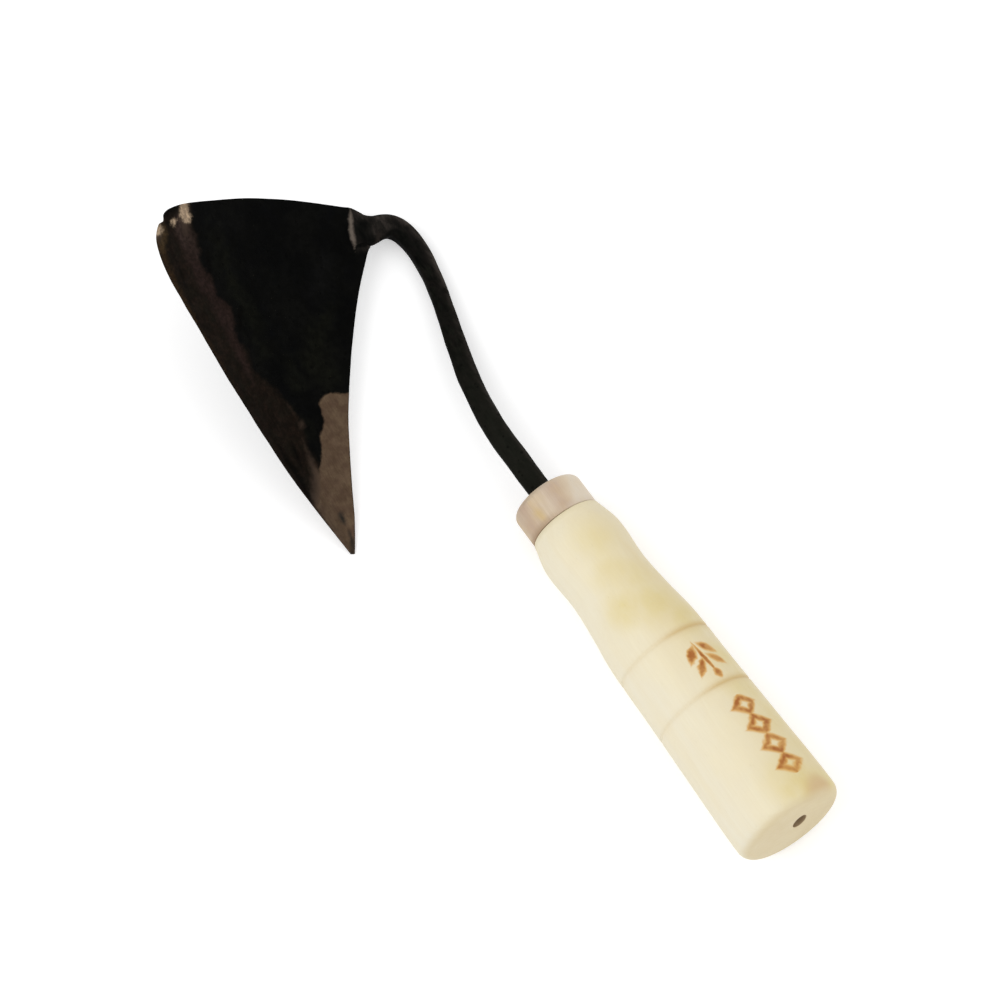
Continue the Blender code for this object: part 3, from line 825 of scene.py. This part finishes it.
def burnt_ornament(place):
    """A burnt sprig and a row of lozenges on the handle: how deeply each place is burnt."""
    axes = along_axes(place)
    wander = less(cloudy(place, scale=0.55, detail=1.0), 0.5)
    depth = less(wander, axes["X"])
    around = worked_out("MULTIPLY_ADD", worked_out("ARCTAN2", axes["Z"], axes["Y"]), ORNAMENT_RADIUS, wander)

    in_row = less(depth, LOZENGE_FIRST - 0.5 * LOZENGE_SPACING)
    index = worked_out("DIVIDE", in_row, LOZENGE_SPACING)
    inside_row = times(worked_out("GREATER_THAN", index, 0.0), worked_out("LESS_THAN", index, LOZENGE_COUNT))
    from_middle = less(worked_out("MODULO", in_row, LOZENGE_SPACING), 0.5 * LOZENGE_SPACING)
    along = worked_out("DIVIDE", worked_out("ABSOLUTE", from_middle), LOZENGE_HALF_LENGTH)
    across = worked_out("DIVIDE", worked_out("ABSOLUTE", less(around, LOZENGE_AROUND)), LOZENGE_HALF_WIDTH)
    from_line = worked_out("ABSOLUTE", less(worked_out("ADD", along, across), LOZENGE_LINE))
    burnt = times(between(from_line, 1.0, 0.0, 0.02, 0.62), inside_row)

    for leaf_depth, leaf_around, turn, half_length, half_width in SPRIG:
        run = less(depth, leaf_depth)
        rise = less(around, leaf_around)
        cosine = cos(radians(turn))
        sine = sin(radians(turn))
        along = worked_out("DIVIDE", worked_out("ADD", times(run, cosine), times(rise, sine)), half_length)
        across = worked_out("DIVIDE", less(times(rise, cosine), times(run, sine)), half_width)
        along = worked_out("POWER", worked_out("ABSOLUTE", along), LEAF_POINTEDNESS)
        across = worked_out("POWER", worked_out("ABSOLUTE", across), LEAF_FLATNESS)
        burnt = largest(burnt, between(worked_out("ADD", along, across), 1.0, 0.0, 0.2, 1.7))
    return burnt


def pale_turned_wood():
    """Bare pale wood, turned and sanded: yellower on one side, with fibres, lathe marks and an ornament."""
    made, tree, shader = finish_with_shader("pale_turned_wood", specular=0.3)
    place = place_in_mm(tree, tool_rest())
    height = along_axes(place)["Z"]
    fibres = placed(FINE_STREAKS, place=place, width=0.35, length=26.0)
    broad = placed(FINE_STREAKS, place=place, width=4.5, length=60.0)["Mask"]
    blotch = blotches(stretched(place, (2.0, 1, 1)), size=11.0, softness=0.22)
    tint = blotches(stretched(place, (1.3, 1, 1)), size=6.0, softness=0.25)
    pores = placed(PITS, place=stretched(place, (7.0, 1, 1)), spacing=0.75, radius=0.11)["Mask"]

    inputs = {0: stretched(place, (60.0, 1, 1)), 1: RING_HEART}
    from_heart = node("VectorMath", inputs, operation="ADD")["Vector"]
    inputs = {"Vector": from_heart, "Scale": 0.115, "Distortion": 1.6, "Detail": 2.0, "Detail Scale": 0.6}
    rings = node("TexWave", inputs, wave_type="RINGS", rings_direction="X", wave_profile="SAW")
    inputs = {"Vector": place, "Scale": 0.45, "Distortion": 0.8, "Detail": 1.0}
    lathe = node("TexWave", inputs, wave_type="BANDS", bands_direction="X", wave_profile="SIN")

    # The paler side is painted light; the yellower side is partly the wood's own tone and partly painted shade
    yellow_side = between(height, 0.0, 1.0, -5.0, 13.0)
    painted_pale_side = between(height, 1.0, 0.0, -14.0, 2.0)
    stained = attribute(tree, "stain_share")
    end = attribute(tree, "end_share")
    uneven = worked_out("ADD", cloudy(place, scale=0.32, detail=2.0), times(height, -0.03))
    burnt = times(burnt_ornament(place), between(uneven, 0.66, 1.0, 0.0, 0.45))
    colour = layered(
        WOOD["pale"],
        (tint, WOOD["warm"]),
        (painted_pale_side, WOOD["painted pale side"], 0.8),
        (broad, WOOD["broad streak"], 0.3),
        (yellow_side, WOOD["yellow side"], between(blotch, 0.45, 0.95)),
        (blotch, WOOD["faint blotch"], between(yellow_side, 0.3, 0.1)),
        (stained, WOOD["yellow stain"], between(tint, 0.6, 0.95)),
        (between(stained, 0.0, 0.85, 0.8, 1.5), WOOD["brown stain"]),
        (end, mixed(blotch, WOOD["end grain"], WOOD["dark end grain"]), 0.85),
        (rings["Fac"], WOOD["ring"], between(end, 0.06, 0.20)),
        (fibres["Mask"], WOOD["fibre"], 0.10),
        (pores, WOOD["pore"], 0.15),
        (attribute(tree, "groove_share"), WOOD["groove"], between(yellow_side, 0.15, 0.9)),
        # Painted shade on the wood at the ferrule's mouth
        (attribute(tree, "soiled_share"), WOOD["soiled"], between(yellow_side, 0.8, 0.2)),
        (between(burnt, 0.0, 0.85, 0.0, 0.6), WOOD["scorched"]),
        (between(burnt, 0.0, 0.9, 0.40, 1.0), WOOD["burnt"]),
        (attribute(tree, "bored_share"), WOOD["bored"]),
    )
    feed(shader["Base Color"], colour)
    feed(shader["Roughness"], between(fibres["Mask"], 0.46, 0.6))

    relief = worked_out("ADD", fibres["Height"], times(lathe["Fac"], 0.12))
    relief = less(relief, times(pores, 0.6))
    relief = less(relief, times(burnt, 1.2))
    feed(shader["Normal"], bump(relief, distance=0.00004))
    return made


# Outlines of the turned pieces


def smooth_value(stations, place):
    """The value at a place, on a smooth curve through (place, value) stations."""
    count = len(stations)
    index = 0
    while index < count - 2 and place > stations[index + 1][0]:
        index += 1
    (x0, y0), (x1, y1) = stations[index], stations[index + 1]
    before = after = (y1 - y0) / (x1 - x0)
    if index > 0:
        before = (y1 - stations[index - 1][1]) / (x1 - stations[index - 1][0])
    if index < count - 2:
        after = (stations[index + 2][1] - y0) / (stations[index + 2][0] - x0)
    width = x1 - x0
    share = clamped((place - x0) / width)
    squared = share * share
    cubed = squared * share
    start = (2 * cubed - 3 * squared + 1) * y0 + (cubed - 2 * squared + share) * width * before
    end = (3 * squared - 2 * cubed) * y1 + (cubed - squared) * width * after
    return start + end


def rounded(centre, radius, start, end, steps):
    """Points (x, radius) on an arc, with angles in degrees from +X towards outwards."""
    points = []
    for step in range(steps + 1):
        angle = radians(start + (end - start) * step / steps)
        points.append((centre[0] + radius * cos(angle), centre[1] + radius * sin(angle)))
    return points


def handle_radius(depth):
    """The handle's radius at a depth, with its grooves cut round."""
    radius = 0.5 * smooth_value(HANDLE_STATIONS, depth) - HANDLE_SANDED_OFF
    for place in GROOVE_PLACES:
        across = abs(depth - place) / GROOVE_HALF_WIDTH
        if across < 1.0:
            radius -= GROOVE_DEPTH * (0.5 + 0.5 * cos(pi * across))
    return radius


def handle_profile():
    """The handle's outline as (x, radius), from its spigot in the ferrule to the bottom of its hole."""
    start = HANDLE_MOUTH + HANDLE_ROUNDING
    butt = HANDLE_LENGTH - HANDLE_SANDED_OFF
    end = butt - BUTT_ROUNDING
    places = []
    depth = start
    while depth < end:
        places.append(depth)
        depth += RING_SPACING
    for groove in GROOVE_PLACES:
        places = [kept for kept in places if abs(kept - groove) > GROOVE_HALF_WIDTH * GROOVE_CLEARING]
        for step in range(-GROOVE_STEPS // 2 - 1, GROOVE_STEPS // 2 + 2):
            places.append(groove + GROOVE_HALF_WIDTH * 2 * step / GROOVE_STEPS)
    places.append(end)
    places.sort()
    profile = [(-SPIGOT_START, BUTT_HOLE_RADIUS), (-SPIGOT_START, SPIGOT_RADIUS)]
    profile.append((-HANDLE_MOUTH, SPIGOT_RADIUS))
    mouth_centre = (-start, handle_radius(start) - HANDLE_ROUNDING)
    profile += rounded(mouth_centre, HANDLE_ROUNDING, 0, 90, steps=5)
    profile += [(-place, handle_radius(place)) for place in places[1:]]
    butt_centre = (-end, handle_radius(end) - BUTT_ROUNDING)
    profile += rounded(butt_centre, BUTT_ROUNDING, 90, 180, steps=10)[1:]
    for share in BUTT_RINGS:
        profile.append((-butt, BUTT_HOLE_RADIUS + (butt_centre[1] - BUTT_HOLE_RADIUS) * share))
    hole_centre = (-butt + BUTT_HOLE_EASE, BUTT_HOLE_RADIUS + BUTT_HOLE_EASE)
    profile += rounded(hole_centre, BUTT_HOLE_EASE, 180, 270, steps=4)
    profile.append((-butt + BUTT_HOLE_DEPTH, BUTT_HOLE_RADIUS))
    return profile


def ferrule_profile():
    """The ferrule's closed outline as (x, radius)."""
    inner = FERRULE_RADIUS - FERRULE_WALL
    inner_rounding = FERRULE_ROUNDING - FERRULE_WALL
    profile = [
        (-FERRULE_LENGTH, inner + FERRULE_LIP),
        (-FERRULE_LENGTH, FERRULE_RADIUS - FERRULE_LIP),
        (-FERRULE_LENGTH + FERRULE_LIP, FERRULE_RADIUS),
    ]
    for share in FERRULE_RINGS:
        profile.append((-FERRULE_LENGTH + (FERRULE_LENGTH - FERRULE_ROUNDING) * share, FERRULE_RADIUS))
    centre = (-FERRULE_ROUNDING, FERRULE_RADIUS - FERRULE_ROUNDING)
    profile += rounded(centre, FERRULE_ROUNDING, 90, 0, steps=10)
    profile.append((0.0, FERRULE_HOLE + FERRULE_LIP))
    profile += rounded((-FERRULE_LIP, FERRULE_HOLE + FERRULE_LIP), FERRULE_LIP, 360, 270, steps=3)[1:]
    profile.append((-FERRULE_WALL, FERRULE_HOLE))
    profile += rounded((-FERRULE_ROUNDING, inner - inner_rounding), inner_rounding, 0, 90, steps=6)
    profile.append((-FERRULE_LENGTH + FERRULE_LIP, inner))
    profile.append(profile[0])
    return profile


# Steps that several pieces share


def from_axis(place):
    """How far a place lies from the handle's axis."""
    return (place.y**2 + place.z**2) ** 0.5


def soft_spot(point, middle, size):
    """A share that falls smoothly from 1 at the middle of a spot to 0 at its reach."""
    share = max(0.0, 1.0 - (point - middle).length / size)
    return share * share * (3 - 2 * share)


def choose(piece):
    """Selects this piece alone, for the tools that work on what is selected."""
    bpy.ops.object.select_all(action="DESELECT")
    piece.select_set(True)
    bpy.context.view_layer.objects.active = piece


def turned_piece(name, profile):
    """A piece turned about the handle's axis, left in edit mode: a ring is drawn out and resized along it."""
    x, radius = profile[0]
    bpy.ops.mesh.primitive_circle_add(
        vertices=AROUND, radius=radius, fill_type="NOTHING", location=(x, 0, 0), rotation=(0, pi / 2, 0)
    )
    piece = bpy.context.object
    piece.name = name
    piece.data.name = name
    bpy.ops.object.transform_apply(location=True, rotation=True, scale=True)
    bpy.ops.object.mode_set(mode="EDIT")
    bpy.ops.mesh.select_all(action="SELECT")
    for (x0, r0), (x1, r1) in zip(profile, profile[1:]):
        bpy.ops.mesh.extrude_region_move(TRANSFORM_OT_translate={"value": (x1 - x0, 0, 0)})
        bpy.ops.transform.resize(value=(1, r1 / r0, r1 / r0), center_override=(x1, 0, 0))
    bpy.ops.mesh.select_all(action="SELECT")
    bpy.ops.mesh.remove_doubles(threshold=TURNED_MERGE)
    return piece


def close_ring(piece, x, radius):
    """Fills the open ring of a turned piece at this place with a fan of faces."""
    bpy.ops.mesh.select_all(action="DESELECT")
    bpy.ops.object.mode_set(mode="OBJECT")
    for vertex in piece.data.vertices:
        vertex.select = abs(vertex.co.x - x) < ON_RING and abs(from_axis(vertex.co) - radius) < ON_RING
    bpy.ops.object.mode_set(mode="EDIT")
    bpy.ops.mesh.select_mode(type="VERT")
    bpy.ops.mesh.edge_face_add()
    bpy.ops.mesh.poke()


def leave_edit_mode():
    """Turns the normals outwards and shades smooth, but for sharp edges."""
    bpy.ops.mesh.select_all(action="SELECT")
    bpy.ops.mesh.normals_make_consistent(inside=False)
    bpy.ops.object.mode_set(mode="OBJECT")
    bpy.ops.object.shade_smooth_by_angle(angle=radians(SHARP_ANGLE))


def write_values(piece, ending, rows):
    """Keeps each point's row of named values on the mesh, under the names with this ending."""
    for name in rows[0]:
        held = piece.data.attributes.new(name + ending, "FLOAT", "POINT")
        held.data.foreach_set("value", [row[name] for row in rows])


def put_in_place(piece, node_name, finish):
    """Gives a piece its finish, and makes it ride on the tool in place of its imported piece."""
    piece.data.materials.clear()
    piece.data.materials.append(finish)
    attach(piece, "root")
    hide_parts(node_name)
    piece.select_set(False)


def lay_down(piece, node_name, finish):
    """Lays a finished piece down with the tool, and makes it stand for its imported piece."""
    piece.matrix_world = tool_rest()
    choose(piece)
    bpy.ops.object.transform_apply(location=True, rotation=True, scale=True)
    put_in_place(piece, node_name, finish)


# Handle and ferrule


def slant_hole(piece):
    """Moves the butt's narrow hole off the middle, slants it back to the axis, and makes its mouth oval."""
    for vertex in piece.data.vertices:
        behind = HANDLE_LENGTH + vertex.co.x
        near_hole = from_axis(vertex.co) < BUTT_HOLE_RADIUS + 2 * BUTT_HOLE_EASE
        if near_hole and behind < BUTT_HOLE_DEPTH + MM:
            out = Vector((0.0, vertex.co.y, vertex.co.z))
            oval = BUTT_HOLE_LONG_WAY * (out.dot(BUTT_HOLE_LONG_WAY) * BUTT_HOLE_STRETCH)
            oval -= out * BUTT_HOLE_PINCH
            vertex.co += BUTT_HOLE_SHIFT * (1.0 - behind / BUTT_HOLE_SLANT)
            vertex.co += oval * max(0.0, 1.0 - behind / BUTT_HOLE_OVAL_DEPTH)


def handle_values(place):
    """What the wood's finish reads at one place of the handle."""
    depth = -place.x
    from_groove = min(abs(depth - groove) for groove in GROOVE_PLACES)
    return {
        "groove": max(0.0, 1.0 - from_groove / GROOVE_SHADE),
        "soiled": clamped(1.0 - (depth - HANDLE_MOUTH) / MOUTH_SHADE_LENGTH) * MOUTH_SHADE_MOST,
        "bored": 1.0 if from_axis(place) < BORED_RADIUS else 0.0,
        "stain": max(soft_spot(place / MM, spot, size) * share for spot, size, share in WOOD_STAINS),
        "end": ramp(depth, END_GRAIN_START, END_GRAIN_RUN),
    }


def turn_handle():
    """The handle, with its spigot, waist, grooves and the hole in its butt."""
    profile = handle_profile()
    piece = turned_piece("turned_handle", profile)
    close_ring(piece, *profile[0])
    close_ring(piece, *profile[-1])
    leave_edit_mode()
    write_values(piece, "_share", [handle_values(vertex.co) for vertex in piece.data.vertices])
    slant_hole(piece)
    lay_down(piece, "handle", pale_turned_wood())


def ferrule_values(place):
    """How strong each kind of stain is at one place of the ferrule."""
    point = place / MM
    return {name: max(soft_spot(point, *spot) for spot in spots) for name, spots in FERRULE_STAINS.items()}


def draw_ferrule():
    """The ferrule, a cap with a rounded edge and the neck's hole."""
    piece = turned_piece("drawn_ferrule", ferrule_profile())
    leave_edit_mode()
    write_values(piece, "_share", [ferrule_values(vertex.co) for vertex in piece.data.vertices])
    lay_down(piece, "ferrule", drawn_ferrule_metal())


# Head


def reach_in_strokes(point, strokes):
    """How far a flat point lies inside the nearest of some strokes of changing half width."""
    best = FAR
    for stroke in strokes:
        for (x0, y0, start), (x1, y1, end) in zip(stroke, stroke[1:]):
            run = Vector((x1 - x0, y1 - y0))
            along = clamped((point - Vector((x0, y0))).dot(run) / run.length_squared)
            nearest = Vector((x0, y0)) + run * along
            best = max(best, start + (end - start) * along - (point - nearest).length)
    return best


def reach_inside(point, outline):
    """How far a flat point lies inside a closed outline, below zero outside it."""
    inside = False
    closed = (*outline, outline[0])
    for (x0, y0), (x1, y1) in zip(closed, closed[1:]):
        if (y0 > point.y) != (y1 > point.y):
            if point.x < x0 + (x1 - x0) * (point.y - y0) / (y1 - y0):
                inside = not inside
    from_line = -reach_in_strokes(point, [[(x, y, 0.0) for x, y in closed]])
    return from_line if inside else -from_line


def head_values(place, tool_place, facing):
    """What the steel's finish reads at one place, in millimetres of the blade's and the tool's own frames."""
    point = Vector((place.x, place.y))
    values = dict.fromkeys((*OUTLINED_MARKS, *STROKED_MARKS), FAR)
    if place.x > BLADE_START and abs(place.z) < BLADE_REACH:
        for name, outlines in OUTLINED_MARKS.items():
            values[name] = max(reach_inside(point, outline) for outline in outlines)
        for name, strokes in STROKED_MARKS.items():
            values[name] = max(values[name], reach_in_strokes(point, strokes))
    values["root"] = reach_in_strokes(point, ROOT_STREAKS) if place.z > ROOT_BACK else FAR
    below_root = ramp(place.y, *BELOW_ROOT) * ramp(place.x, *BESIDE_ROOT)
    neck_end = NECK_END + NECK_END_LEAN * place.y
    values["neck"] = ramp(neck_end, place.x, NECK_FADE) * (1.0 - below_root)
    # The painted highlight: where the neck faces the light, strongest near its bend
    near_bend = clamped((tool_place.x - LIT_NECK_START) / LIT_NECK_RUN, LIT_NECK_LEAST)
    values["rubbed"] = ramp(facing, *LIT_NECK_FACING) * near_bend * values["neck"]
    return values


def chipped(place):
    """How the chip at the blade's corner moves a place of the blade's own frame, in millimetres."""
    return CHIP_MOVE * soft_spot(Vector((place.x, place.y)), CHIP_PLACE, CHIP_REACH)


def struck(place, size, depth):
    """How deeply forging marks of one size are struck at a place."""
    return depth * (noise.noise(place / size) * 0.5 + 0.5)


def copied_head():
    """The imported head's mesh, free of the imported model, with its rims eased and its faces rounded."""
    packed = frame["nodes"]["forged_head"]
    piece = packed.copy()
    piece.data = packed.data.copy()
    piece.name = "forged_hoe_head"
    piece.data.name = "forged_hoe_head"
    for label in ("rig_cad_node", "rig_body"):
        if label in piece:
            del piece[label]
    piece.parent = None
    bpy.context.scene.collection.objects.link(piece)
    choose(piece)
    bpy.ops.object.mode_set(mode="EDIT")
    bpy.ops.mesh.select_all(action="SELECT")
    bpy.ops.mesh.remove_doubles(threshold=PACKED_MERGE)
    bpy.ops.mesh.tris_convert_to_quads(face_threshold=radians(QUAD_BEND), shape_threshold=radians(QUAD_SKEW))
    bpy.ops.mesh.normals_make_consistent(inside=False)
    bpy.ops.object.mode_set(mode="OBJECT")
    easing = piece.modifiers.new("eased rims", "BEVEL")
    easing.width = EDGE_BEVEL
    easing.segments = 2
    easing.limit_method = "ANGLE"
    easing.angle_limit = radians(RIM_ANGLE)
    bpy.ops.object.modifier_apply(modifier=easing.name)
    rounding = piece.modifiers.new("rounded forging", "SUBSURF")
    rounding.levels = 2
    rounding.render_levels = 2
    bpy.ops.object.modifier_apply(modifier=rounding.name)
    piece.data.update()
    return piece


def forge_head():
    """The head, with its marks kept for the finish and its surface struck with hammer marks."""
    piece = copied_head()
    to_blade = blade_rest().inverted()
    from_blade = blade_rest().to_3x3()
    to_tool = tool_rest().inverted()
    lit_neck_side = tool_rest().to_3x3() @ LIT_NECK_SIDE
    normals = [vertex.normal.copy() for vertex in piece.data.vertices]
    rows = []
    for vertex, normal in zip(piece.data.vertices, normals):
        place = to_blade @ vertex.co / MM
        rows.append(head_values(place, to_tool @ vertex.co / MM, normal.dot(lit_neck_side)))
        depth = struck(vertex.co, HAMMER_SIZE, HAMMER_DEPTH) + struck(vertex.co, SCALE_SIZE, SCALE_DEPTH)
        vertex.co += from_blade @ chipped(place) * MM - normal * depth
    write_values(piece, "_mark", rows)
    bpy.ops.object.shade_smooth()
    put_in_place(piece, "forged_head", black_forged_steel())


# Studio


def pale_floor():
    """A wide pale floor that keeps the tool's shadow."""
    bpy.ops.mesh.primitive_plane_add(size=FLOOR_SIZE, location=(0, 0, 0))
    floor = bpy.context.object
    floor.name = "studio_floor"
    made, tree, shader = finish_with_shader("studio_floor_paint", specular=0.0)
    seen = node("LightPath", tree=tree)
    place = node("TexCoord", tree=tree)["Object"]
    away = node("VectorMath", {0: place}, operation="LENGTH")["Value"]
    glow = between(away, FLOOR_GLOW, FAR_FLOOR_GLOW, *GLOW_RISE)
    glow = times(largest(seen["Is Camera Ray"], seen["Is Glossy Ray"]), glow)
    feed(shader["Base Color"], FLOOR_PAINT)
    feed(shader["Roughness"], 0.9)
    feed(shader["Emission Color"], WHITE)
    feed(shader["Emission Strength"], glow)
    floor.data.materials.append(made)
    floor.select_set(False)


def white_world():
    """An even light from all round, which the camera and reflections see as white."""
    world = bpy.data.worlds.new("studio_world")
    bpy.context.scene.world = world
    world.use_nodes = True
    tree = world.node_tree
    background = tree.nodes["Background"].inputs
    seen = node("LightPath", tree=tree)
    white = largest(seen["Is Camera Ray"], seen["Is Glossy Ray"], seen["Is Transmission Ray"])
    feed(background["Color"], WHITE)
    feed(background["Strength"], between(white, WORLD_LIGHT, 1.0))


def soft_lamp(name, place, size, power):
    """A round lamp that points at the tool."""
    bpy.ops.object.light_add(type="AREA", location=place)
    lamp = bpy.context.object
    lamp.name = name
    lamp.data.shape = "DISK"
    lamp.data.size = size
    lamp.data.energy = power
    lamp.rotation_euler = (LIGHT_AIM - place).to_track_quat("-Z", "Y").to_euler()
    lamp.select_set(False)


def camera():
    """The camera that looks at the tool as the photograph does."""
    bpy.ops.object.camera_add(location=CAMERA_PLACE, rotation=[radians(angle) for angle in CAMERA_TURN])
    eye = bpy.context.object
    eye.data.lens = CAMERA_LENS
    eye.data.sensor_width = CAMERA_SENSOR
    eye.data.clip_start = CAMERA_NEAREST
    bpy.context.scene.camera = eye
    eye.select_set(False)


camera()
white_world()
soft_lamp("key_light", KEY_PLACE, KEY_SIZE, KEY_POWER)
soft_lamp("fill_light", FILL_PLACE, FILL_SIZE, FILL_POWER)
pale_floor()
forge_head()
draw_ferrule()
turn_handle()
bpy.context.scene.view_settings.view_transform = "Standard"
